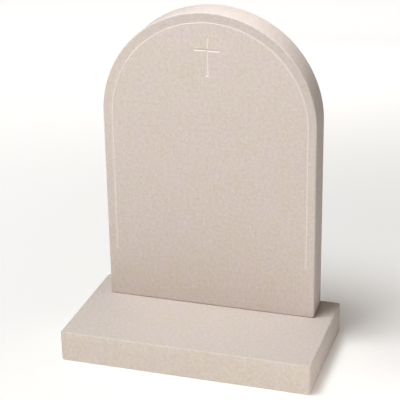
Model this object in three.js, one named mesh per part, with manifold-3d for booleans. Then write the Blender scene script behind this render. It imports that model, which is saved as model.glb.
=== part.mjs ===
// A lawn headstone in light sandstone: a round-headed upright tablet that
// stands near the back of a wide, low base. The tablet's face has a V-cut line
// that runs parallel to its edge and a small V-cut cross under the arch.
//
// Millimetres, +Z up. The origin is the middle of the base's underside, X runs
// along the width, and the carved face looks towards -Y.

import * as THREE from 'three';
import { mergeVertices } from 'three/addons/utils/BufferGeometryUtils.js';
import Module from 'manifold-3d';

// Tablet
const TABLET_WIDTH = 520;
const TABLET_HEIGHT = 740;
const TABLET_THICKNESS = 76;
const TABLET_ARRIS = 3;
const TABLET_FOOT_RADIUS = 4.5;

// Base: what it leaves uncovered on each side of the tablet
const BASE_HEIGHT = 76;
const SIDE_MARGIN = 45;
const FRONT_LEDGE = 227;
const BACK_MARGIN = 22;
const BASE_ARRIS = 3;
const BASE_CORNER_RADIUS = 5;

// The hairline bed that the tablet stands on
const BED_JOINT = 0.3;

// Margin line, cut parallel to the tablet's edge
const LINE_INSET = 22;
const LINE_WIDTH = 5;
const LINE_FOOT_HEIGHT = 126;

// Cross, cut below the crown of the arch
const CROSS_DROP = 55;
const CROSS_HEIGHT = 97;
const CROSS_SPAN = 61;
const CROSSBAR_DROP = 32;
const CROSS_STROKE_WIDTH = 6.4;
const CROSS_END_WIDTH = 8.6;

// V-cut: how deep a groove is for each millimetre of its half width
const V_CUT_STEEPNESS = 0.9;
// How far a cutter stands proud of the face that it cuts
const CUTTER_PROUD = 1;

// Honed light sandstone
const STONE_COLOUR = 0xd6c9be;
const STONE_ROUGHNESS = 0.85;

// Facets
const ARCH_STEPS = 96;
const CORNER_STEPS = 3;
const ARRIS_STEPS = 3;
const FLARE_STEPS = 8;
// Corners closer together than this are one corner
const WELD_DISTANCE = 1e-4;

// Worked out from the sizes above
const BASE_WIDTH = TABLET_WIDTH + 2 * SIDE_MARGIN;
const BASE_DEPTH = FRONT_LEDGE + TABLET_THICKNESS + BACK_MARGIN;
const TABLET_FOOT_Z = BASE_HEIGHT + BED_JOINT;
const TABLET_FRONT_Y = FRONT_LEDGE - BASE_DEPTH / 2;
const ARCH_RADIUS = TABLET_WIDTH / 2;
const SPRINGING_HEIGHT = TABLET_HEIGHT - ARCH_RADIUS;

const wasm = await Module();
wasm.setup();

// Points on an arc, both ends included. Angles are in degrees.
function arcPoints(centreX, centreY, radius, from, to, steps) {
  const points = [];
  for (let i = 0; i <= steps; i++) {
    const angle = THREE.MathUtils.degToRad(from + ((to - from) * i) / steps);
    points.push(new THREE.Vector2(
      centreX + radius * Math.cos(angle),
      centreY + radius * Math.sin(angle),
    ));
  }
  return points;
}

// A slab cut to an outline, with its front and back edges rounded to an arris.
// The outline is in X and Y, and the slab is centred on Z.
function roundedSlab(outline, thickness, arris) {
  const geometry = new THREE.ExtrudeGeometry(new THREE.Shape(outline), {
    depth: thickness - 2 * arris,
    bevelEnabled: true,
    bevelThickness: arris,
    bevelSize: arris,
    bevelOffset: -arris,
    bevelSegments: ARRIS_STEPS,
  });
  return geometry.translate(0, 0, arris - thickness / 2);
}

// Merges a geometry's shared corners and makes a solid of it.
function toSolid(geometry) {
  const bare = new THREE.BufferGeometry();
  bare.setAttribute('position', geometry.getAttribute('position').clone());
  if (geometry.index) {
    bare.setIndex(geometry.index.clone());
  }
  const merged = mergeVertices(bare, WELD_DISTANCE);
  return new wasm.Manifold(new wasm.Mesh({
    numProp: 3,
    vertProperties: new Float32Array(merged.getAttribute('position').array),
    triVerts: new Uint32Array(merged.index.array),
  }));
}

function toGeometry(solid) {
  const mesh = solid.getMesh();
  const geometry = new THREE.BufferGeometry();
  geometry.setAttribute('position', new THREE.BufferAttribute(mesh.vertProperties, 3));
  geometry.setIndex(new THREE.BufferAttribute(mesh.triVerts, 1));
  return geometry;
}

// The solid that a V-shaped groove takes out of a face that looks towards +Z.
// Each station has a point on the groove's middle line and a half width there.
// The groove's ends slope as its sides do, so it reaches half its width past
// its first and its last station.
function vGrooveCutter(stations, faceZ) {
  const positions = [];
  const last = stations.length - 1;
  const proudSpread = CUTTER_PROUD / V_CUT_STEEPNESS;
  stations.forEach(({ point, halfWidth }, i) => {
    const before = stations[Math.max(i - 1, 0)].point;
    const after = stations[Math.min(i + 1, last)].point;
    const along = after.clone().sub(before).normalize();
    const across = new THREE.Vector2(-along.y, along.x);
    const spread = halfWidth + proudSpread;
    let reach = 0;
    if (i === 0) {
      reach = -spread;
    } else if (i === last) {
      reach = spread;
    }
    for (const side of [-spread, spread]) {
      const lip = point.clone().addScaledVector(along, reach).addScaledVector(across, side);
      positions.push(lip.x, lip.y, faceZ + CUTTER_PROUD);
    }
    positions.push(point.x, point.y, faceZ - halfWidth * V_CUT_STEEPNESS);
  });
  const index = [0, 1, 2];
  for (let i = 0; i < last; i++) {
    for (let corner = 0; corner < 3; corner++) {
      const a = 3 * i + corner;
      const b = 3 * i + ((corner + 1) % 3);
      index.push(a, a + 3, b, b, a + 3, b + 3);
    }
  }
  index.push(3 * last, 3 * last + 2, 3 * last + 1);
  const geometry = new THREE.BufferGeometry();
  geometry.setAttribute('position', new THREE.Float32BufferAttribute(positions, 3));
  geometry.setIndex(index);
  return toSolid(geometry);
}

// The tablet's outline: straight sides, a half-round head and a flat foot.
// Its foot is at Y = 0.
function tabletOutline() {
  const halfWidth = TABLET_WIDTH / 2;
  const footRadius = TABLET_FOOT_RADIUS;
  return [
    ...arcPoints(halfWidth - footRadius, footRadius, footRadius, -90, 0, CORNER_STEPS),
    ...arcPoints(0, SPRINGING_HEIGHT, ARCH_RADIUS, 0, 180, ARCH_STEPS),
    ...arcPoints(footRadius - halfWidth, footRadius, footRadius, 180, 270, CORNER_STEPS),
  ];
}

// The margin line goes up one side, round the arch and down the other side.
function marginLineCutter(faceZ) {
  const radius = ARCH_RADIUS - LINE_INSET;
  const halfWidth = LINE_WIDTH / 2;
  const foot = LINE_FOOT_HEIGHT + halfWidth;
  const points = [
    new THREE.Vector2(radius, foot),
    ...arcPoints(0, SPRINGING_HEIGHT, radius, 0, 180, ARCH_STEPS),
    new THREE.Vector2(-radius, foot),
  ];
  return vGrooveCutter(points.map((point) => ({ point, halfWidth })), faceZ);
}

// A straight stroke from one end to the other. It is narrowest at its waist,
// a share of the way along, and widens towards both ends.
function strokeCutter(start, end, waist, faceZ) {
  const endReach = CROSS_END_WIDTH / 2;
  const along = end.clone().sub(start).normalize();
  const first = start.clone().addScaledVector(along, endReach);
  const last = end.clone().addScaledVector(along, -endReach);
  const stations = [];
  for (let i = 0; i <= 2 * FLARE_STEPS; i++) {
    const share = i / (2 * FLARE_STEPS);
    const side = share < waist ? waist : 1 - waist;
    const flare = (Math.abs(share - waist) / side) ** 2;
    const width = THREE.MathUtils.lerp(CROSS_STROKE_WIDTH, CROSS_END_WIDTH, flare);
    stations.push({ point: first.clone().lerp(last, share), halfWidth: width / 2 });
  }
  return vGrooveCutter(stations, faceZ);
}

function crossCutters(faceZ) {
  const top = TABLET_HEIGHT - CROSS_DROP;
  const bar = top - CROSSBAR_DROP;
  const upright = strokeCutter(
    new THREE.Vector2(0, top - CROSS_HEIGHT),
    new THREE.Vector2(0, top),
    1 - CROSSBAR_DROP / CROSS_HEIGHT,
    faceZ,
  );
  const crossbar = strokeCutter(
    new THREE.Vector2(-CROSS_SPAN / 2, bar),
    new THREE.Vector2(CROSS_SPAN / 2, bar),
    0.5,
    faceZ,
  );
  return [upright, crossbar];
}

function sandstone() {
  return new THREE.MeshStandardMaterial({
    color: STONE_COLOUR,
    roughness: STONE_ROUGHNESS,
    metalness: 0,
  });
}

// The tablet is carved lying on its back and then stood up, so that the face
// that looked towards +Z looks towards -Y.
function makeTablet() {
  const faceZ = TABLET_THICKNESS / 2;
  let stone = toSolid(roundedSlab(tabletOutline(), TABLET_THICKNESS, TABLET_ARRIS));
  for (const cutter of [marginLineCutter(faceZ), ...crossCutters(faceZ)]) {
    stone = stone.subtract(cutter);
  }
  const tablet = new THREE.Mesh(toGeometry(stone), sandstone());
  tablet.name = 'tablet';
  tablet.rotation.x = Math.PI / 2;
  tablet.position.set(0, TABLET_FRONT_Y + TABLET_THICKNESS / 2, TABLET_FOOT_Z);
  return tablet;
}

function makeBase() {
  const radius = BASE_CORNER_RADIUS;
  const x = BASE_WIDTH / 2 - radius;
  const y = BASE_DEPTH / 2 - radius;
  const outline = [
    ...arcPoints(x, -y, radius, -90, 0, CORNER_STEPS),
    ...arcPoints(x, y, radius, 0, 90, CORNER_STEPS),
    ...arcPoints(-x, y, radius, 90, 180, CORNER_STEPS),
    ...arcPoints(-x, -y, radius, 180, 270, CORNER_STEPS),
  ];
  const stone = toSolid(roundedSlab(outline, BASE_HEIGHT, BASE_ARRIS));
  const base = new THREE.Mesh(toGeometry(stone), sandstone());
  base.name = 'base';
  base.position.z = BASE_HEIGHT / 2;
  return base;
}

const headstone = new THREE.Group();
headstone.add(makeBase(), makeTablet());

export default headstone;
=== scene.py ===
# %% [markdown]
# # A sandstone headstone
#
# This lesson dresses a headstone of two stones: a round-headed tablet that stands upright near
# the back of a low base. The sizes come from the CAD model, which is loaded first and never
# moved. Each CAD solid is then replaced by a finer mesh that Geometry Nodes work out from a few
# sizes, and both stones get a procedural sandstone.

# %% Load the CAD model
import math

import bpy
from mathutils import Matrix, Vector


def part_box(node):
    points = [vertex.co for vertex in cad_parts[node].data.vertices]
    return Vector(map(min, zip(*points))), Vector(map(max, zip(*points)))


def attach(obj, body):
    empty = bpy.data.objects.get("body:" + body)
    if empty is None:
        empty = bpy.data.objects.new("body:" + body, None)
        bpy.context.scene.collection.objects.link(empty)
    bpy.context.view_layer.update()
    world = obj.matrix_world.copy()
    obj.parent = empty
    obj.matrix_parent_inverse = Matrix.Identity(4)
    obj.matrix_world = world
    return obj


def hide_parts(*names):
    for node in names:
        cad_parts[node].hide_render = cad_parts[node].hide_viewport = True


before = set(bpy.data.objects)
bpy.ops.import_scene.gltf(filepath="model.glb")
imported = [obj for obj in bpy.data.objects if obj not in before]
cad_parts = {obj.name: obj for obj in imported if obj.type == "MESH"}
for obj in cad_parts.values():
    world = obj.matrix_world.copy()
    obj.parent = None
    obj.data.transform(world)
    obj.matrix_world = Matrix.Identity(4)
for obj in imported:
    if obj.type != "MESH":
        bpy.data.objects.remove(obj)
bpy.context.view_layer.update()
tablet_low, tablet_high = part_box("tablet")
base_low, base_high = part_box("base")
tablet_size = tablet_high - tablet_low
base_size = base_high - base_low
print("tablet, metres:", [round(side, 4) for side in tablet_size])
print("base, metres:", [round(side, 4) for side in base_size])

# %% [markdown]
# ## The camera
#
# The photograph looks down on the stone from the front and a little from its right. The camera
# is placed by the way it looks, by a point inside the tablet, and by where that point falls in
# the picture, so the lens needs no shift. The picture is 400 pixels square, and a focal length
# counted in those pixels gives the lens.

# %% Place the camera
PICTURE_PIXELS = 400
SENSOR_MM = 36.0
FOCAL_PIXELS = 1378.85
CAMERA_AZIMUTH = math.radians(17.706)
CAMERA_ELEVATION = math.radians(23.077)
CAMERA_ROLL = math.radians(-1.010)
CAMERA_DISTANCE = 3.22107
AIM_POINT = Vector((0.0, 0.0, 0.380))
AIM_PIXEL_X = 200.634
AIM_PIXEL_Y = 201.564


def add_camera():
    """A camera with no shift that sees the aim point at its pixel."""
    level = math.cos(CAMERA_ELEVATION)
    forward = Vector((
        -math.sin(CAMERA_AZIMUTH) * level,
        math.cos(CAMERA_AZIMUTH) * level,
        -math.sin(CAMERA_ELEVATION),
    ))
    level_right = forward.cross(Vector((0, 0, 1))).normalized()
    level_up = level_right.cross(forward)
    right = level_right * math.cos(CAMERA_ROLL) + level_up * math.sin(CAMERA_ROLL)
    up = level_up * math.cos(CAMERA_ROLL) - level_right * math.sin(CAMERA_ROLL)
    metres_per_pixel = CAMERA_DISTANCE / FOCAL_PIXELS
    middle = PICTURE_PIXELS / 2
    place = AIM_POINT - forward * CAMERA_DISTANCE
    place -= right * (AIM_PIXEL_X - middle) * metres_per_pixel
    place += up * (AIM_PIXEL_Y - middle) * metres_per_pixel

    lens = bpy.data.cameras.new("camera")
    lens.sensor_width = SENSOR_MM
    lens.lens = FOCAL_PIXELS / PICTURE_PIXELS * SENSOR_MM
    camera = bpy.data.objects.new("camera", lens)
    bpy.context.scene.collection.objects.link(camera)
    turned = Matrix((right, up, -forward)).transposed()
    camera.matrix_world = Matrix.Translation(place) @ turned.to_4x4()
    bpy.context.scene.camera = camera
    return camera


camera = add_camera()
print("lens, mm:", round(camera.data.lens, 1))

# %% [markdown]
# ## Helpers for node trees
#
# Shapes and finishes below are node trees, and all of them are built by the same few helpers.
# One makes an empty tree with named inputs and outputs. One adds a node and fills its sockets:
# a socket of another node becomes a link, and anything else becomes a plain value. The others
# are short ways to write a sum, a vector and a mix.

# %% Node helpers
FLOAT = "NodeSocketFloat"
COLOUR = "NodeSocketColor"
VECTOR = "NodeSocketVector"
GEOMETRY = "NodeSocketGeometry"
# Where a Mix node keeps its first value and its result, for each kind of value
MIX_SOCKETS = {"FLOAT": (2, 0), "VECTOR": (4, 1), "RGBA": (6, 2)}


def new_tree(name, kind, inputs, outputs):
    """An empty node tree. Inputs and outputs are rows of name, socket type and default."""
    tree = bpy.data.node_groups.new(name, kind)
    for in_out, rows in (("OUTPUT", outputs), ("INPUT", inputs)):
        for socket_name, socket_type, default in rows:
            socket = tree.interface.new_socket(
                socket_name, in_out=in_out, socket_type=socket_type)
            if default is not None:
                socket.default_value = default
    given = tree.nodes.new("NodeGroupInput").outputs
    result = tree.nodes.new("NodeGroupOutput").inputs
    return tree, given, result


def add(tree, kind, sockets=None, **settings):
    """Adds a node. A socket takes a link from another node's socket, or a plain value."""
    node = tree.nodes.new(kind)
    for name, value in settings.items():
        setattr(node, name, value)
    for name, value in (sockets or {}).items():
        if isinstance(value, bpy.types.NodeSocket):
            tree.links.new(value, node.inputs[name])
        else:
            node.inputs[name].default_value = value
    return node


def maths(tree, operation, first, second=0.0, third=0.0):
    """The result of one Math node."""
    sockets = {0: first, 1: second, 2: third}
    return add(tree, "ShaderNodeMath", sockets, operation=operation).outputs[0]


def vector(tree, x=0.0, y=0.0, z=0.0):
    """A vector of three values or sockets."""
    return add(tree, "ShaderNodeCombineXYZ", {"X": x, "Y": y, "Z": z}).outputs[0]


def scaled(tree, direction, length):
    """A vector made longer or shorter."""
    sockets = {0: direction, "Scale": length}
    return add(tree, "ShaderNodeVectorMath", sockets, operation="SCALE").outputs[0]


def mix(tree, kind, factor, first, second, **settings):
    """Goes from the first value to the second as the factor goes from 0 to 1."""
    slot, result = MIX_SOCKETS[kind]
    sockets = {0: factor, slot: first, slot + 1: second}
    return add(tree, "ShaderNodeMix", sockets, data_type=kind, **settings).outputs[result]


print("node helpers ready")

# %% [markdown]
# ## Sandstone
#
# The stone is a fine, pale sandstone that was rubbed to a matt face. From a step away it is
# mottled: grains and small clots of grains in slightly different creams, from about a millimetre
# up to a fingertip. Over a hand's width it drifts between a pinkish and a yellowish cream, and
# here and there a grain is dark with iron. Each of these is one noise at its own size. All of
# them work on object coordinates, so the pattern runs through the block and turns its corners,
# as real stone does.

# %% The sandstone group
# Sizes are in metres. A speck is drawn in one cell in ten, and its core and its edge are
# distances from the cell's middle, where 1 is the cells' spacing.
CELLS_LEFT_PLAIN = 0.9
SPECK_CORE = 0.06
SPECK_EDGE = 0.16


def sandstone_group():
    """The stone's colour, its height for the bump, and the sand alone, about 0."""
    tree, given, result = new_tree("Sandstone", "ShaderNodeTree", [
        ("Place", VECTOR, None),
        ("Pink Cream", COLOUR, (0.66, 0.57, 0.51, 1)),
        ("Yellow Cream", COLOUR, (0.64, 0.57, 0.48, 1)),
        ("Dark Grain", COLOUR, (0.72, 0.66, 0.59, 1)),
        ("Pale Grain", COLOUR, (1.28, 1.34, 1.41, 1)),
        ("Iron", COLOUR, (0.36, 0.27, 0.2, 1)),
        ("Clot Size", FLOAT, 0.008), ("Cloud Size", FLOAT, 0.04), ("Speck Spacing", FLOAT, 0.007),
        ("Mottling", FLOAT, 0.95), ("Clouds", FLOAT, 2.0), ("Specks", FLOAT, 0.35),
    ], [("Colour", COLOUR, None), ("Height", FLOAT, None), ("Sand", FLOAT, None)])
    place = given["Place"]

    def noise(size, detail, roughness):
        """A noise about 0, for features of this size."""
        scale = maths(tree, "DIVIDE", 1.0, size)
        sockets = {"Vector": place, "Scale": scale, "Detail": detail, "Roughness": roughness}
        return maths(tree, "SUBTRACT", add(tree, "ShaderNodeTexNoise", sockets).outputs[0], 0.5)

    clouds = noise(given["Cloud Size"], 2.0, 0.5)
    sand = noise(given["Clot Size"], 3.0, 1.0)
    cloud_share = maths(tree, "MULTIPLY_ADD", clouds, given["Clouds"], 0.5)
    ground = mix(tree, "RGBA", cloud_share, given["Pink Cream"], given["Yellow Cream"])
    sand_share = maths(tree, "MULTIPLY_ADD", sand, given["Mottling"], 0.5)
    grains = mix(tree, "RGBA", sand_share, given["Dark Grain"], given["Pale Grain"])
    shaded = mix(tree, "RGBA", 1.0, ground, grains, blend_type="MULTIPLY")

    cells = add(tree, "ShaderNodeTexVoronoi", {
        "Vector": place, "Scale": maths(tree, "DIVIDE", 1.0, given["Speck Spacing"]),
    }).outputs
    pick = add(tree, "ShaderNodeSeparateColor", {0: cells["Color"]}).outputs[0]
    chosen = maths(tree, "GREATER_THAN", pick, CELLS_LEFT_PLAIN)
    near = add(tree, "ShaderNodeMapRange", {
        "Value": cells["Distance"], "From Min": SPECK_CORE, "From Max": SPECK_EDGE,
        "To Min": 1.0, "To Max": 0.0,
    }).outputs[0]
    speck = maths(tree, "MULTIPLY", maths(tree, "MULTIPLY", chosen, near), given["Specks"])
    tree.links.new(mix(tree, "RGBA", speck, shaded, given["Iron"]), result["Colour"])
    tree.links.new(maths(tree, "SUBTRACT", sand, speck), result["Height"])
    tree.links.new(sand, result["Sand"])
    return tree


SANDSTONE = sandstone_group()
print("sandstone group:", len(SANDSTONE.nodes), "nodes")

# %% [markdown]
# ## Worn arrises, saw marks and the rim
#
# Three more effects sit on top of the stone. Handling and cleaning rub the arrises a little
# paler than the faces, so one group turns the arris attribute of the mesh into a broken-up mask.
# The faces that nobody sees were left from the saw: fine straight ridges run along the stone. The
# second group makes those ridges, and keeps them to the faces that look back or down. In the
# photograph the rim outside the cut line is a shade darker than the field inside it, over the
# head and most of all to its right. The third group finds that rim from the arch's middle.

# %% The arris, saw and rim groups
# The wear of an arris where it is worn least
LEAST_WEAR = 0.5
# A place is multiplied by this, which draws the noise out along X, the way the saw went
SAW_STRETCH = (0.004, 1.0, 1.0)
# How squarely a face looks back or down where its saw marks start, and where they are full
HIDDEN_STARTS = 0.8
HIDDEN_FULL = 0.95
# How far along the fading direction the rim is at its darkest, and where it is gone
RIM_DARKEST = -0.8
RIM_GONE = 0.1
# The Y of the stone's normal where it is on the face, and where it is off the face
ON_FACE_Y = -0.95
OFF_FACE_Y = -0.6


def worn_arris_group():
    """How worn the stone is: 0 off the arrises, and from half to full along them."""
    tree, given, result = new_tree("Worn arris", "ShaderNodeTree", [
        ("Place", VECTOR, None), ("Arris", FLOAT, 0.0), ("Patch Size", FLOAT, 0.02),
    ], [("Wear", FLOAT, None)])
    scale = maths(tree, "DIVIDE", 1.0, given["Patch Size"])
    patches = add(tree, "ShaderNodeTexNoise", {
        "Vector": given["Place"], "Scale": scale, "Detail": 3.0,
    }).outputs[0]
    broken = add(tree, "ShaderNodeMapRange", {
        "Value": patches, "From Min": 0.35, "From Max": 0.65,
        "To Min": LEAST_WEAR, "To Max": 1.0,
    }).outputs[0]
    tree.links.new(maths(tree, "MULTIPLY", given["Arris"], broken), result["Wear"])
    return tree


def saw_marks_group():
    """The height of fine ridges along X, on the faces that look back or down alone."""
    tree, given, result = new_tree("Saw marks", "ShaderNodeTree", [
        ("Place", VECTOR, None), ("Normal", VECTOR, None), ("Ridge", FLOAT, 0.003),
    ], [("Height", FLOAT, None)])
    along = add(tree, "ShaderNodeVectorMath", {
        0: given["Place"], 1: SAW_STRETCH,
    }, operation="MULTIPLY").outputs[0]
    scale = maths(tree, "DIVIDE", 1.0, given["Ridge"])
    ridges = add(tree, "ShaderNodeTexNoise", {
        "Vector": along, "Scale": scale, "Detail": 2.0,
    }).outputs[0]
    way = add(tree, "ShaderNodeSeparateXYZ", {0: given["Normal"]}).outputs
    down = maths(tree, "MULTIPLY", way["Z"], -1.0)
    hidden = maths(tree, "MAXIMUM", way["Y"], down)
    mask = add(tree, "ShaderNodeMapRange", {
        "Value": hidden, "From Min": HIDDEN_STARTS, "From Max": HIDDEN_FULL,
    }).outputs[0]
    tree.links.new(maths(tree, "MULTIPLY", ridges, mask), result["Height"])
    return tree


def rim_group():
    """1 on the face's rim over the head, and 0 inside the line and at the sides' feet."""
    tree, given, result = new_tree("Rim", "ShaderNodeTree", [
        ("Place", VECTOR, None), ("Normal", VECTOR, None), ("Arch Middle", VECTOR, None),
        ("Inner Radius", FLOAT, 0.24), ("Fades Along", VECTOR, (-1.5, 0.0, -3.5)),
    ], [("Rim", FLOAT, None)])
    from_middle = add(tree, "ShaderNodeVectorMath", {
        0: given["Place"], 1: given["Arch Middle"],
    }, operation="SUBTRACT").outputs[0]
    in_face = add(tree, "ShaderNodeVectorMath", {
        0: from_middle, 1: (1.0, 0.0, 1.0),
    }, operation="MULTIPLY").outputs[0]
    radius = add(tree, "ShaderNodeVectorMath", {0: in_face}, operation="LENGTH").outputs["Value"]
    past_line = maths(tree, "GREATER_THAN", radius, given["Inner Radius"])
    lower = add(tree, "ShaderNodeVectorMath", {
        0: from_middle, 1: given["Fades Along"],
    }, operation="DOT_PRODUCT").outputs["Value"]
    head = add(tree, "ShaderNodeMapRange", {
        "Value": lower, "From Min": RIM_DARKEST, "From Max": RIM_GONE, "To Min": 1.0, "To Max": 0.0,
    }, interpolation_type="SMOOTHSTEP").outputs[0]
    way = add(tree, "ShaderNodeSeparateXYZ", {0: given["Normal"]}).outputs["Y"]
    on_face = add(tree, "ShaderNodeMapRange", {
        "Value": way, "From Min": ON_FACE_Y, "From Max": OFF_FACE_Y, "To Min": 1.0, "To Max": 0.0,
    }).outputs[0]
    rim = maths(tree, "MULTIPLY", maths(tree, "MULTIPLY", past_line, head), on_face)
    tree.links.new(rim, result["Rim"])
    return tree


WORN_ARRIS = worn_arris_group()
SAW_MARKS = saw_marks_group()
RIM = rim_group()
print("finish groups ready")

# %% [markdown]
# ## The two stones' materials
#
# Both stones come from one quarry, so one function makes both materials from the same groups,
# and only a few values differ. The darker rim belongs to the tablet alone, so its share is 0 for
# the base. A fresh V-cut shows cleaner, paler stone than the rubbed face, so the mesh's cut
# attribute lightens it. Bump carries the sand and the saw marks, because both are finer than the
# mesh.

# %% The materials
# Freshly cut stone, and what the stone's colour is multiplied by on the rim
PALE_STONE = (0.796, 0.738, 0.698, 1)
RIM_STONE = (0.9, 0.91, 0.92, 1)
# How far the stone goes to the pale one on a worn arris and in a cut
WEAR_SHARE = 0.35
CUT_SHARE = 0.78
# Roughness of the face, how much the sand adds, and how much wear takes away
ROUGHNESS = 0.84
SAND_ROUGHNESS = 0.15
WEAR_ROUGHNESS = -0.08
# Saw marks against sand, and the bump of both
SAW_RELIEF = 2.0
BUMP_STRENGTH = 0.5
BUMP_DEPTH = 0.0004
SPECULAR = 0.3
# The line cut beside the tablet's edge, in metres
LINE_INSET = 0.022
LINE_WIDTH = 0.005
arch_radius = tablet_size.x / 2
arch_middle = (0.0, 0.0, tablet_high.z - arch_radius)


def stone_material(name, pink_cream, yellow_cream, block, rim_share):
    """Rubbed sandstone for one of the two stones. Block moves it to other stone in the quarry."""
    material = bpy.data.materials.new(name)
    material.use_nodes = True
    tree = material.node_tree
    shader = tree.nodes["Principled BSDF"]
    coordinates = add(tree, "ShaderNodeTexCoord").outputs["Object"]
    place = add(tree, "ShaderNodeMapping", {"Vector": coordinates, "Location": block}).outputs[0]
    normal = add(tree, "ShaderNodeNewGeometry").outputs["Normal"]
    arris = add(tree, "ShaderNodeAttribute", attribute_name="arris").outputs["Fac"]
    cut = add(tree, "ShaderNodeAttribute", attribute_name="cut").outputs["Fac"]

    stone = add(tree, "ShaderNodeGroup", {
        "Place": place, "Pink Cream": pink_cream, "Yellow Cream": yellow_cream,
    }, node_tree=SANDSTONE).outputs
    wear = add(tree, "ShaderNodeGroup", {
        "Place": place, "Arris": arris,
    }, node_tree=WORN_ARRIS).outputs[0]
    saw = add(tree, "ShaderNodeGroup", {
        "Place": place, "Normal": normal,
    }, node_tree=SAW_MARKS).outputs[0]
    rim = add(tree, "ShaderNodeGroup", {
        "Place": coordinates, "Normal": normal, "Arch Middle": arch_middle,
        "Inner Radius": arch_radius - LINE_INSET + LINE_WIDTH / 2,
    }, node_tree=RIM).outputs[0]

    darker = maths(tree, "MULTIPLY", rim, rim_share)
    rimmed = mix(tree, "RGBA", darker, stone["Colour"], RIM_STONE, blend_type="MULTIPLY")
    worn = mix(tree, "RGBA", maths(tree, "MULTIPLY", wear, WEAR_SHARE), rimmed, PALE_STONE)
    colour = mix(tree, "RGBA", maths(tree, "MULTIPLY", cut, CUT_SHARE), worn, PALE_STONE)
    tree.links.new(colour, shader.inputs["Base Color"])
    matt = maths(tree, "MULTIPLY_ADD", stone["Sand"], SAND_ROUGHNESS, ROUGHNESS)
    roughness = maths(tree, "MULTIPLY_ADD", wear, WEAR_ROUGHNESS, matt)
    tree.links.new(roughness, shader.inputs["Roughness"])
    height = maths(tree, "MULTIPLY_ADD", saw, SAW_RELIEF, stone["Height"])
    bump = add(tree, "ShaderNodeBump", {
        "Height": height, "Strength": BUMP_STRENGTH, "Distance": BUMP_DEPTH,
    }).outputs[0]
    tree.links.new(bump, shader.inputs["Normal"])
    shader.inputs["Specular IOR Level"].default_value = SPECULAR
    return material


tablet_stone = stone_material(
    "tablet_sandstone", pink_cream=(0.658, 0.57, 0.545, 1), yellow_cream=(0.642, 0.57, 0.497, 1),
    block=(0, 0, 0), rim_share=0.9)
base_stone = stone_material(
    "base_sandstone", pink_cream=(0.683, 0.593, 0.558, 1), yellow_cream=(0.667, 0.593, 0.51, 1),
    block=(3.1, 1.7, 2.3), rim_share=0.0)
print("materials:", tablet_stone.name, base_stone.name)

# %% [markdown]
# ## An arch by rule
#
# The tablet's outline and the line cut round its face are one shape at two sizes: upright sides
# under a half-round head. A mason strikes both with a compass. Here a rectangle's upper corners
# are filleted with a radius as large as half its width, so the two fillets meet at the crown.
# The base's outline comes from the same rule with four small corners.

# %% The outline tree
# A rounded corner has at least this many steps.
FEWEST_STEPS = 4.0
# A corner that stands higher than this is at the head, in metres.
FOOT_LEVEL = 1e-6


def outline_tree():
    """A rectangle that stands on Y = 0, with one corner radius at its head and one at its foot.
    Open leaves its lower side out."""
    tree, given, result = new_tree("Outline", "GeometryNodeTree", [
        ("Width", FLOAT, 1.0), ("Height", FLOAT, 1.0),
        ("Head Radius", FLOAT, 0.1), ("Foot Radius", FLOAT, 0.1),
        ("Step", FLOAT, 0.004), ("Open", FLOAT, 0.0),
    ], [("Curve", GEOMETRY, None)])
    right = maths(tree, "MULTIPLY", given["Width"], 0.5)
    left = maths(tree, "MULTIPLY", given["Width"], -0.5)
    corners = add(tree, "GeometryNodeCurvePrimitiveQuadrilateral", {
        "Point 1": vector(tree, right),
        "Point 2": vector(tree, right, given["Height"]),
        "Point 3": vector(tree, left, given["Height"]),
        "Point 4": vector(tree, left),
    }, mode="POINTS").outputs[0]
    closed = maths(tree, "SUBTRACT", 1.0, given["Open"])
    loop = add(tree, "GeometryNodeSetSplineCyclic", {"Geometry": corners, "Cyclic": closed})

    place = add(tree, "GeometryNodeInputPosition").outputs[0]
    height_here = add(tree, "ShaderNodeSeparateXYZ", {0: place}).outputs["Y"]
    at_head = maths(tree, "GREATER_THAN", height_here, FOOT_LEVEL)
    radius = mix(tree, "FLOAT", at_head, given["Foot Radius"], given["Head Radius"])
    quarter = maths(tree, "MULTIPLY", radius, math.pi / 2)
    steps = maths(tree, "MAXIMUM", maths(tree, "DIVIDE", quarter, given["Step"]), FEWEST_STEPS)
    rounded = add(tree, "GeometryNodeFilletCurve", {
        "Curve": loop.outputs[0], "Radius": radius, "Count": steps, "Limit Radius": True,
    }, mode="POLY").outputs[0]

    here = add(tree, "GeometryNodeInputIndex").outputs[0]
    ahead = add(tree, "GeometryNodeOffsetPointInCurve", {"Point Index": here, "Offset": 1})
    next_place = add(tree, "GeometryNodeFieldAtIndex", {
        "Index": ahead.outputs["Point Index"], "Value": place,
    }, data_type="FLOAT_VECTOR").outputs[0]
    gap = add(tree, "ShaderNodeVectorMath", {0: place, 1: next_place}, operation="DISTANCE")
    cuts = maths(tree, "DIVIDE", gap.outputs["Value"], given["Step"])
    even = add(tree, "GeometryNodeSubdivideCurve", {"Curve": rounded, "Cuts": cuts})
    tree.links.new(even.outputs[0], result["Curve"])
    return tree


OUTLINE = outline_tree()
print("outline tree:", len(OUTLINE.nodes), "nodes")

# %% [markdown]
# ## A dressed slab
#
# Each stone is a slab that was sawn, rubbed flat and had its sharp edges, its arrises, eased.
# The tree sweeps an edge section round the outline and closes it with a flat face on each side.
# A real arris is never quite even, so it is eased a little deeper here and there. How near each
# point is to the middle of an arris is kept in an attribute, for the stone's finish to use.

# %% The slab tree
SECTION_POINTS = 16
# Points closer together than this are one point, in metres
WELD = 1e-5
# The easing's noise: features for each metre, and where it starts to bite and bites fully
EASING_FEATURES = 45.0
EASING_STARTS = 0.4
EASING_FULL = 0.75


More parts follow.
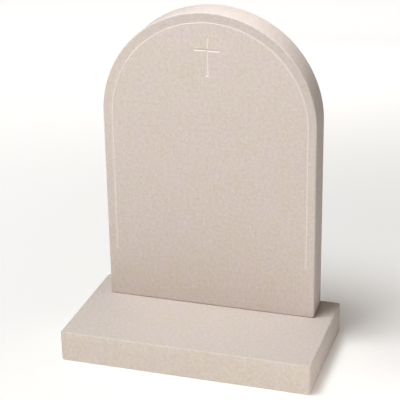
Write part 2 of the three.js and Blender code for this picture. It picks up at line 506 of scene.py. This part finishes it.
def slab_tree():
    """A slab that lies flat, with its thickness about Z = 0 and its foot on Y = 0."""
    tree, given, result = new_tree("Dressed slab", "GeometryNodeTree", [
        ("Width", FLOAT, 1.0), ("Height", FLOAT, 1.0), ("Thickness", FLOAT, 0.1),
        ("Head Radius", FLOAT, 0.1), ("Foot Radius", FLOAT, 0.1), ("Arris", FLOAT, 0.003),
        ("Step", FLOAT, 0.004), ("Easing", FLOAT, 0.0005), ("Seed", FLOAT, 0.0),
    ], [("Geometry", GEOMETRY, None)])
    arris = given["Arris"]
    both_arrises = maths(tree, "MULTIPLY", arris, 2.0)
    flat = add(tree, "GeometryNodeGroup", {
        "Width": maths(tree, "SUBTRACT", given["Width"], both_arrises),
        "Height": maths(tree, "SUBTRACT", given["Height"], both_arrises),
        "Head Radius": maths(tree, "SUBTRACT", given["Head Radius"], arris),
        "Foot Radius": maths(tree, "SUBTRACT", given["Foot Radius"], arris),
        "Step": given["Step"],
    }, node_tree=OUTLINE)
    raised = add(tree, "GeometryNodeTransform", {
        "Geometry": flat.outputs[0], "Translation": vector(tree, y=arris),
    })
    path = add(tree, "GeometryNodeSetCurveNormal", {
        "Curve": raised.outputs[0],
    }, mode="Z_UP").outputs[0]

    # The section is a half circle, pulled apart at its middle by the slab's flat edge.
    half_round = add(tree, "GeometryNodeCurveArc", {
        "Resolution": SECTION_POINTS, "Radius": arris,
        "Start Angle": -math.pi / 2, "Sweep Angle": math.pi,
    }, mode="RADIUS").outputs[0]
    place = add(tree, "GeometryNodeInputPosition").outputs[0]
    across = add(tree, "ShaderNodeSeparateXYZ", {0: place}).outputs
    area = maths(tree, "ABSOLUTE", maths(tree, "MULTIPLY", across["X"], across["Y"]))
    full_area = maths(tree, "MULTIPLY", maths(tree, "MULTIPLY", arris, arris), 0.5)
    marked = add(tree, "GeometryNodeStoreNamedAttribute", {
        "Geometry": half_round, "Name": "arris", "Value": maths(tree, "DIVIDE", area, full_area),
    }, data_type="FLOAT", domain="POINT").outputs[0]
    half = maths(tree, "MULTIPLY", given["Thickness"], 0.5)
    which_side = maths(tree, "SIGN", across["Y"])
    pull = maths(tree, "MULTIPLY", which_side, maths(tree, "SUBTRACT", half, arris))
    section = add(tree, "GeometryNodeSetPosition", {
        "Geometry": marked, "Offset": vector(tree, y=pull),
    }).outputs[0]
    edge = add(tree, "GeometryNodeCurveToMesh", {
        "Curve": path, "Profile Curve": section,
    }).outputs[0]

    # The easing takes a little more off where a slow noise is high.
    noise = add(tree, "ShaderNodeTexNoise", {
        "Vector": place, "W": given["Seed"], "Scale": EASING_FEATURES, "Detail": 3.0,
    }, noise_dimensions="4D").outputs[0]
    high = add(tree, "ShaderNodeMapRange", {
        "Value": noise, "From Min": EASING_STARTS, "From Max": EASING_FULL,
    }).outputs[0]
    on_arris = add(tree, "GeometryNodeInputNamedAttribute", {
        "Name": "arris",
    }, data_type="FLOAT").outputs[0]
    depth = maths(tree, "MULTIPLY", maths(tree, "MULTIPLY", high, on_arris), given["Easing"])
    normal = add(tree, "GeometryNodeInputNormal").outputs[0]
    eased = add(tree, "GeometryNodeSetPosition", {
        "Geometry": edge, "Offset": scaled(tree, normal, maths(tree, "MULTIPLY", depth, -1.0)),
    }).outputs[0]

    face = add(tree, "GeometryNodeFillCurve", {"Curve": path}, mode="NGONS").outputs[0]
    above = vector(tree, z=half)
    front = add(tree, "GeometryNodeTransform", {"Geometry": face, "Translation": above})
    below = vector(tree, z=maths(tree, "MULTIPLY", half, -1.0))
    back = add(tree, "GeometryNodeTransform", {"Geometry": face, "Translation": below})
    turned = add(tree, "GeometryNodeFlipFaces", {"Mesh": back.outputs[0]})
    shell = add(tree, "GeometryNodeJoinGeometry")
    for part in (turned.outputs[0], front.outputs[0], eased):
        tree.links.new(part, shell.inputs[0])
    welded = add(tree, "GeometryNodeMergeByDistance", {
        "Geometry": shell.outputs[0], "Distance": WELD,
    }).outputs[0]
    tree.links.new(welded, result["Geometry"])
    return tree


SLAB = slab_tree()
print("slab tree:", len(SLAB.nodes), "nodes")

# %% [markdown]
# ## A V-shaped cut
#
# A letter cutter's chisel leaves a groove with two sloping flanks that meet in a sharp bottom,
# and each end slopes up as its sides do. The tree sweeps a triangle along a path to make the
# solid that the cut takes away. The triangle is drawn for a groove of half width 1 and is scaled
# along the path, so one tree gives both the even line and the strokes that widen to their ends.
# A hand-cut groove wanders a little, which a slow noise adds.

# %% The V-cut tree
STATION_STEP = 0.003
# The wander's noise: features for each metre, and the noise's middle
WANDER_FEATURES = 60.0
NOISE_MIDDLE = (0.5, 0.5, 0.5)


def v_cut_tree():
    """The solid that a groove takes out of a face at Z = 0 that looks up. The groove reaches
    half its width past each end of its path."""
    tree, given, result = new_tree("V cut", "GeometryNodeTree", [
        ("Path", GEOMETRY, None), ("Waist Width", FLOAT, 0.005), ("End Width", FLOAT, 0.005),
        ("Waist", FLOAT, 0.5), ("Steepness", FLOAT, 0.8), ("Proud", FLOAT, 0.4),
        ("Wander", FLOAT, 0.0002), ("Seed", FLOAT, 0.0),
    ], [("Geometry", GEOMETRY, None)])
    even = add(tree, "GeometryNodeResampleCurve", {
        "Curve": given["Path"], "Length": STATION_STEP,
    }, mode="LENGTH").outputs[0]
    place = add(tree, "GeometryNodeInputPosition").outputs[0]
    drift = add(tree, "ShaderNodeTexNoise", {
        "Vector": place, "W": given["Seed"], "Scale": WANDER_FEATURES, "Detail": 2.0,
    }, noise_dimensions="4D").outputs["Color"]
    centred = add(tree, "ShaderNodeVectorMath", {
        0: drift, 1: NOISE_MIDDLE,
    }, operation="SUBTRACT").outputs[0]
    in_face = vector(tree, given["Wander"], given["Wander"])
    sideways = add(tree, "ShaderNodeVectorMath", {
        0: centred, 1: in_face,
    }, operation="MULTIPLY").outputs[0]
    wandering = add(tree, "GeometryNodeSetPosition", {
        "Geometry": even, "Offset": sideways,
    }).outputs[0]
    level = add(tree, "GeometryNodeSetCurveNormal", {
        "Curve": wandering,
    }, mode="Z_UP").outputs[0]

    # How far along the groove a point is, from its waist at 0 to either end at 1.
    along = add(tree, "GeometryNodeSplineParameter").outputs["Factor"]
    from_waist = maths(tree, "SUBTRACT", along, given["Waist"])
    past_waist = maths(tree, "GREATER_THAN", from_waist, 0.0)
    after = maths(tree, "SUBTRACT", 1.0, given["Waist"])
    share = maths(tree, "DIVIDE", maths(tree, "ABSOLUTE", from_waist),
                  mix(tree, "FLOAT", past_waist, given["Waist"], after))
    flare = maths(tree, "MULTIPLY", share, share)
    width = mix(tree, "FLOAT", flare, given["Waist Width"], given["End Width"])
    half_width = maths(tree, "MULTIPLY", width, 0.5)

    # Which way the groove's end slopes out: along the path, at its first and last points alone.
    first = add(tree, "GeometryNodeCurveEndpointSelection", {"Start Size": 1, "End Size": 0})
    last = add(tree, "GeometryNodeCurveEndpointSelection", {"Start Size": 0, "End Size": 1})
    which_end = maths(tree, "SUBTRACT", last.outputs[0], first.outputs[0])
    spread = maths(tree, "ADD", given["Proud"], 1.0)
    reach = maths(tree, "MULTIPLY", maths(tree, "MULTIPLY", half_width, spread), which_end)
    tangent = add(tree, "GeometryNodeInputTangent").outputs[0]
    path = add(tree, "GeometryNodeStoreNamedAttribute", {
        "Geometry": level, "Name": "end_slope", "Value": scaled(tree, tangent, reach),
    }, data_type="FLOAT_VECTOR", domain="POINT").outputs[0]

    # Point 0 of the triangle is the groove's bottom. Points 1 and 2 are lips above the face.
    triangle = add(tree, "GeometryNodeCurvePrimitiveCircle", {
        "Resolution": 3,
    }, mode="RADIUS").outputs[0]
    corner = add(tree, "GeometryNodeInputIndex").outputs[0]
    is_lip = maths(tree, "GREATER_THAN", corner, 0.5)
    lip_side = maths(tree, "MULTIPLY_ADD", corner, 2.0, -3.0)
    proud = maths(tree, "MULTIPLY", given["Proud"], -1.0)
    above = maths(tree, "MULTIPLY", given["Steepness"], proud)
    lip = vector(tree, maths(tree, "MULTIPLY", lip_side, spread), above)
    section_place = mix(tree, "VECTOR", is_lip, vector(tree, y=given["Steepness"]), lip)
    shaped = add(tree, "GeometryNodeSetPosition", {"Geometry": triangle, "Position": section_place})
    section = add(tree, "GeometryNodeStoreNamedAttribute", {
        "Geometry": shaped.outputs[0], "Name": "lip", "Value": is_lip,
    }, data_type="FLOAT", domain="POINT").outputs[0]

    swept = add(tree, "GeometryNodeCurveToMesh", {
        "Curve": path, "Profile Curve": section, "Scale": half_width, "Fill Caps": True,
    }).outputs[0]
    slope = add(tree, "GeometryNodeInputNamedAttribute", {
        "Name": "end_slope",
    }, data_type="FLOAT_VECTOR").outputs[0]
    on_lip = add(tree, "GeometryNodeInputNamedAttribute", {
        "Name": "lip",
    }, data_type="FLOAT").outputs[0]
    sloped = add(tree, "GeometryNodeSetPosition", {
        "Geometry": swept, "Offset": scaled(tree, slope, on_lip),
    }).outputs[0]
    marked = add(tree, "GeometryNodeStoreNamedAttribute", {
        "Geometry": sloped, "Name": "cut", "Value": 1.0,
    }, data_type="FLOAT", domain="FACE").outputs[0]
    for name in ("end_slope", "lip"):
        marked = add(tree, "GeometryNodeRemoveAttribute", {
            "Geometry": marked, "Name": name,
        }).outputs[0]
    tree.links.new(marked, result["Geometry"])
    return tree


V_CUT = v_cut_tree()
print("V-cut tree:", len(V_CUT.nodes), "nodes")

# %% [markdown]
# ## Shade it and set it down
#
# Both stones begin as a slab and end in the same way. All faces are smooth, but an edge stays
# crisp where the stone bends sharply, as along a cut, and where a flat face meets its arris, so
# that the flat face keeps its flat shading. Then the stone is turned, put in its place and given
# its material. A finished tree is run once, and its result is kept as a plain mesh.

# %% The first and the last nodes of both stones
# How upright a face's normal is when the face counts as flat
FLAT_ENOUGH = 0.99999
CRISP_ANGLE = math.radians(25)
SLAB_SIZES = [
    ("Width", FLOAT, 1.0), ("Height", FLOAT, 1.0), ("Thickness", FLOAT, 0.1),
    ("Head Radius", FLOAT, 0.1), ("Foot Radius", FLOAT, 0.1), ("Arris", FLOAT, 0.003),
    ("Easing", FLOAT, 0.0005), ("Seed", FLOAT, 0.0),
]
SET_DOWN = [("Place", VECTOR, None), ("Stone", "NodeSocketMaterial", None)]


def start_stone(tree, given):
    """Adds a dressed slab that takes all its sizes from the stone's own inputs."""
    sizes = {row[0]: given[row[0]] for row in SLAB_SIZES}
    return add(tree, "GeometryNodeGroup", sizes, node_tree=SLAB).outputs[0]


def finish_stone(tree, geometry, turn, given, result):
    """Adds the nodes that shade a flat-lying stone and set it in its place."""
    smooth = add(tree, "GeometryNodeSetShadeSmooth", {
        "Geometry": geometry, "Shade Smooth": True,
    }, domain="FACE").outputs[0]
    true_normal = add(tree, "GeometryNodeInputNormal").outputs["True Normal"]
    upright = add(tree, "ShaderNodeSeparateXYZ", {0: true_normal}).outputs["Z"]
    is_flat = maths(tree, "GREATER_THAN", maths(tree, "ABSOLUTE", upright), FLAT_ENOUGH)

    # On an edge this is the mean of the two faces beside it, so it is 0.5 where one is flat.
    beside = add(tree, "GeometryNodeFieldOnDomain", {
        "Value": is_flat,
    }, data_type="FLOAT", domain="FACE").outputs[0]
    one_side_flat = maths(tree, "COMPARE", beside, 0.5, 0.25)
    angle = add(tree, "GeometryNodeInputMeshEdgeAngle").outputs["Unsigned Angle"]
    sharp_bend = maths(tree, "GREATER_THAN", angle, CRISP_ANGLE)
    shaded = add(tree, "GeometryNodeSetShadeSmooth", {
        "Geometry": smooth, "Selection": maths(tree, "MAXIMUM", one_side_flat, sharp_bend),
        "Shade Smooth": False,
    }, domain="EDGE").outputs[0]
    standing = add(tree, "GeometryNodeTransform", {
        "Geometry": shaded, "Rotation": turn, "Translation": given["Place"],
    }).outputs[0]
    real = add(tree, "GeometryNodeRealizeInstances", {"Geometry": standing}).outputs[0]
    painted = add(tree, "GeometryNodeSetMaterial", {
        "Geometry": real, "Material": given["Stone"],
    }).outputs[0]
    tree.links.new(painted, result["Geometry"])


def run_tree(name, tree, values):
    """Runs a tree with these values and keeps its result as an object's plain mesh."""
    piece = bpy.data.objects.new(name, bpy.data.meshes.new(name + "_empty"))
    bpy.context.scene.collection.objects.link(piece)
    modifier = piece.modifiers.new("shape", "NODES")
    modifier.node_group = tree
    sockets = [item for item in tree.interface.items_tree if item.in_out == "INPUT"]
    identifiers = {socket.name: socket.identifier for socket in sockets}
    for socket_name, value in values.items():
        modifier[identifiers[socket_name]] = value
    evaluated = piece.evaluated_get(bpy.context.evaluated_depsgraph_get())
    mesh = bpy.data.meshes.new_from_object(evaluated)
    piece.modifiers.remove(modifier)
    piece.data = mesh
    mesh.name = name
    triangles = sum(len(face.vertices) - 2 for face in mesh.polygons)
    print(name, "has", len(mesh.vertices), "points and", triangles, "triangles")
    return piece


# %% [markdown]
# ## The carved tablet
#
# The tablet is a dressed slab with three cuts taken out of its face: the line that runs beside
# the arris, and the upright and the crossbar of a small cross. The crossbar is cut a little
# bolder than the upright, as in the photograph. The tablet is carved lying on its back, as on a
# mason's bench, and stood up at the end.

# %% Carve the tablet
TABLET_ARRIS = 0.003
TABLET_FOOT_RADIUS = 0.0045
STOOD_UP = (math.pi / 2, 0, 0)


def carved_tablet_tree():
    """A slab with the line and the cross cut out of its face, stood up at its place."""
    tree, given, result = new_tree("Carved tablet", "GeometryNodeTree", SLAB_SIZES + [
        ("Line Inset", FLOAT, 0.022), ("Line Width", FLOAT, 0.005), ("Line Foot", FLOAT, 0.126),
        ("Cross Drop", FLOAT, 0.055), ("Cross Height", FLOAT, 0.097), ("Cross Span", FLOAT, 0.061),
        ("Crossbar Drop", FLOAT, 0.032), ("Stroke Width", FLOAT, 0.0064),
        ("Stroke End", FLOAT, 0.0086), ("Bar Width", FLOAT, 0.0086), ("Bar End", FLOAT, 0.0096),
    ] + SET_DOWN, [("Geometry", GEOMETRY, None)])
    slab = start_stone(tree, given)

    inset = given["Line Inset"]
    line_width = maths(tree, "MULTIPLY_ADD", inset, -2.0, given["Width"])
    line_foot = maths(tree, "MULTIPLY_ADD", given["Line Width"], 0.5, given["Line Foot"])
    line_top = maths(tree, "SUBTRACT", given["Height"], inset)
    line = add(tree, "GeometryNodeGroup", {
        "Width": line_width, "Height": maths(tree, "SUBTRACT", line_top, line_foot),
        "Head Radius": maths(tree, "SUBTRACT", given["Head Radius"], inset), "Open": 1.0,
    }, node_tree=OUTLINE)
    raised = add(tree, "GeometryNodeTransform", {
        "Geometry": line.outputs[0], "Translation": vector(tree, y=line_foot),
    })
    line_cut = add(tree, "GeometryNodeGroup", {
        "Path": raised.outputs[0],
        "Waist Width": given["Line Width"], "End Width": given["Line Width"],
    }, node_tree=V_CUT)

    half_end = maths(tree, "MULTIPLY", given["Stroke End"], 0.5)
    half_bar_end = maths(tree, "MULTIPLY", given["Bar End"], 0.5)
    top = maths(tree, "SUBTRACT", given["Height"], given["Cross Drop"])
    foot = maths(tree, "SUBTRACT", top, given["Cross Height"])
    bar = maths(tree, "SUBTRACT", top, given["Crossbar Drop"])
    half_span = maths(tree, "MULTIPLY", given["Cross Span"], 0.5)
    half_bar = maths(tree, "SUBTRACT", half_span, half_bar_end)
    upright = add(tree, "GeometryNodeCurvePrimitiveLine", {
        "Start": vector(tree, y=maths(tree, "ADD", foot, half_end)),
        "End": vector(tree, y=maths(tree, "SUBTRACT", top, half_end)),
    })
    crossbar = add(tree, "GeometryNodeCurvePrimitiveLine", {
        "Start": vector(tree, maths(tree, "MULTIPLY", half_bar, -1.0), bar),
        "End": vector(tree, half_bar, bar),
    })
    drop_share = maths(tree, "DIVIDE", given["Crossbar Drop"], given["Cross Height"])
    crossing = maths(tree, "SUBTRACT", 1.0, drop_share)
    upright_cut = add(tree, "GeometryNodeGroup", {
        "Path": upright.outputs[0], "Waist": crossing, "Seed": 3.0,
        "Waist Width": given["Stroke Width"], "End Width": given["Stroke End"],
    }, node_tree=V_CUT)
    bar_cut = add(tree, "GeometryNodeGroup", {
        "Path": crossbar.outputs[0], "Waist": 0.5, "Seed": 7.0,
        "Waist Width": given["Bar Width"], "End Width": given["Bar End"],
    }, node_tree=V_CUT)

    face = vector(tree, z=maths(tree, "MULTIPLY", given["Thickness"], 0.5))
    carved = add(tree, "GeometryNodeMeshBoolean", {
        "Mesh 1": slab,
    }, operation="DIFFERENCE", solver="EXACT")
    for cut in (line_cut, upright_cut, bar_cut):
        on_face = add(tree, "GeometryNodeTransform", {
            "Geometry": cut.outputs[0], "Translation": face,
        }).outputs[0]
        tree.links.new(on_face, carved.inputs["Mesh 2"])
    finish_stone(tree, carved.outputs[0], STOOD_UP, given, result)
    return tree


tablet_middle = (tablet_low + tablet_high) / 2
tablet = run_tree("carved_tablet", carved_tablet_tree(), {
    "Width": tablet_size.x, "Height": tablet_size.z, "Thickness": tablet_size.y,
    "Head Radius": arch_radius, "Foot Radius": TABLET_FOOT_RADIUS,
    "Arris": TABLET_ARRIS, "Seed": 1.0, "Place": (0.0, tablet_middle.y, tablet_low.z),
    "Line Inset": LINE_INSET, "Line Width": LINE_WIDTH, "Stone": tablet_stone,
})
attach(tablet, "root")
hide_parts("tablet")

# %% [markdown]
# ## The base
#
# The base is a dressed slab as well, low and wide, and it lies as it was made. Its four upright
# corners are a little rounder than its other arrises.

# %% Make the base
BASE_ARRIS = 0.003
BASE_CORNER_RADIUS = 0.005
LEFT_LYING = (0, 0, 0)


def base_tree():
    """A slab that stays as it lies, at its place."""
    tree, given, result = new_tree("Plain base", "GeometryNodeTree", SLAB_SIZES + SET_DOWN,
                                   [("Geometry", GEOMETRY, None)])
    finish_stone(tree, start_stone(tree, given), LEFT_LYING, given, result)
    return tree


base = run_tree("base_block", base_tree(), {
    "Width": base_size.x, "Height": base_size.y, "Thickness": base_size.z,
    "Head Radius": BASE_CORNER_RADIUS, "Foot Radius": BASE_CORNER_RADIUS,
    "Arris": BASE_ARRIS, "Seed": 5.0, "Place": (0.0, base_low.y, base_size.z / 2),
    "Stone": base_stone,
})
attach(base, "root")
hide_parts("base")

# %% [markdown]
# ## The floor
#
# A wide white floor gives a pale ground with no horizon, because the camera looks down on it.
# It is like a photographer's table of white glass that is lit from below. It glows least in
# front of the stone and to its right, so that its right side stays in the shade, and more the
# further it is from there, so the ground stays pale in the stone's shadow and nearly white up
# to the picture's edge. A smooth ramp on the distance from that dimmest place mixes the two
# glows. Both are a little warm, which keeps the stone's shaded side from turning grey.

# %% Lay the floor
FLOOR_SIDE = 20.0
FLOOR_WHITE = (0.9, 0.89, 0.875, 1)
FLOOR_ROUGHNESS = 0.9
NEAR_GLOW = (0.172, 0.158, 0.143, 1)
FAR_GLOW = (0.87, 0.855, 0.835, 1)
# Where the floor glows least, and how far from there the ramp starts and ends, in metres
DIMMEST_PLACE = (0.3, -0.4, 0.0)
GLOW_STARTS = 0.5
GLOW_FULL = 3.6


def floor_material():
    """White glass that glows more the further it is from its dimmest place."""
    material = bpy.data.materials.new("floor")
    material.use_nodes = True
    tree = material.node_tree
    coordinates = add(tree, "ShaderNodeTexCoord").outputs["Object"]
    distance = add(tree, "ShaderNodeVectorMath", {
        0: coordinates, 1: DIMMEST_PLACE,
    }, operation="DISTANCE").outputs["Value"]
    away = add(tree, "ShaderNodeMapRange", {
        "Value": distance, "From Min": GLOW_STARTS, "From Max": GLOW_FULL,
    }, interpolation_type="SMOOTHSTEP").outputs[0]
    glow = mix(tree, "RGBA", away, NEAR_GLOW, FAR_GLOW)
    shader = tree.nodes["Principled BSDF"]
    shader.inputs["Base Color"].default_value = FLOOR_WHITE
    shader.inputs["Roughness"].default_value = FLOOR_ROUGHNESS
    shader.inputs["Emission Strength"].default_value = 1.0
    tree.links.new(glow, shader.inputs["Emission Color"])
    return material


def add_floor():
    """A large square floor at the ground's level."""
    half = FLOOR_SIDE / 2
    corners = [(-half, -half, 0), (half, -half, 0), (half, half, 0), (-half, half, 0)]
    mesh = bpy.data.meshes.new("floor")
    mesh.from_pydata(corners, [], [(0, 1, 2, 3)])
    mesh.materials.append(floor_material())
    floor = bpy.data.objects.new("floor", mesh)
    bpy.context.scene.collection.objects.link(floor)


add_floor()
print("floor:", FLOOR_SIDE, "metres square")

# %% [markdown]
# ## The lights
#
# The main light is a soft one, high over the stone's front left and a little cool. It makes the
# top edge the brightest part, catches the lower flank of every cut, and throws the soft shadow
# on the base's right end. A warmer one stands low in front and fills the face. A small one hangs
# over the right shoulder and rounds it, and a weak one far behind keeps the back from going
# black. The smallest lies by the base's right side, as a white card would, so that this side is
# paler than the tablet's.

# %% Hang the lights
TABLET_WAIST = (0.0, 0.0, 0.4)
BASE_SIDE = (0.28, -0.05, 0.05)
# Name, place, the point it looks at, side in metres, power in watts, colour
LIGHTS = [
    ("key", (-0.58, -0.64, 3.06), TABLET_WAIST, 1.1, 73.5, (0.93, 0.965, 1.0)),
    ("front", (0.0, -2.15, 0.78), TABLET_WAIST, 1.3, 17.0, (1.0, 0.945, 0.87)),
    ("shoulder", (0.3, 0.15, 1.2), TABLET_WAIST, 0.5, 1.5, (1.0, 0.93, 0.88)),
    ("back", (-0.4, 2.4, 0.9), TABLET_WAIST, 0.8, 4.0, (1.0, 0.92, 0.84)),
    ("card", (0.62, -0.25, 0.1), BASE_SIDE, 0.2, 0.34, (1.0, 0.935, 0.9)),
]
# How bright the backdrop looks
BACKDROP = 0.85


def add_light(name, place, looks_at, side, power, colour):
    """A square soft light that looks at a point and isn't seen itself."""
    light = bpy.data.lights.new(name, "AREA")
    light.size = side
    light.energy = power
    light.color = colour
    lamp = bpy.data.objects.new(name, light)
    lamp.visible_camera = False
    bpy.context.scene.collection.objects.link(lamp)
    way = Vector(looks_at) - Vector(place)
    turn = way.to_track_quat("-Z", "Y").to_matrix().to_4x4()
    lamp.matrix_world = Matrix.Translation(place) @ turn


def set_backdrop():
    """Past the floor's end there is a pale backdrop that lights nothing."""
    world = bpy.data.worlds.new("studio")
    world.use_nodes = True
    tree = world.node_tree
    seen = add(tree, "ShaderNodeLightPath").outputs["Is Camera Ray"]
    backdrop = tree.nodes["Background"]
    backdrop.inputs["Color"].default_value = (1, 1, 1, 1)
    tree.links.new(maths(tree, "MULTIPLY", seen, BACKDROP), backdrop.inputs["Strength"])
    bpy.context.scene.world = world


for light_values in LIGHTS:
    add_light(*light_values)
set_backdrop()
bpy.context.scene.view_settings.view_transform = "Standard"
print("lights:", [values[0] for values in LIGHTS])
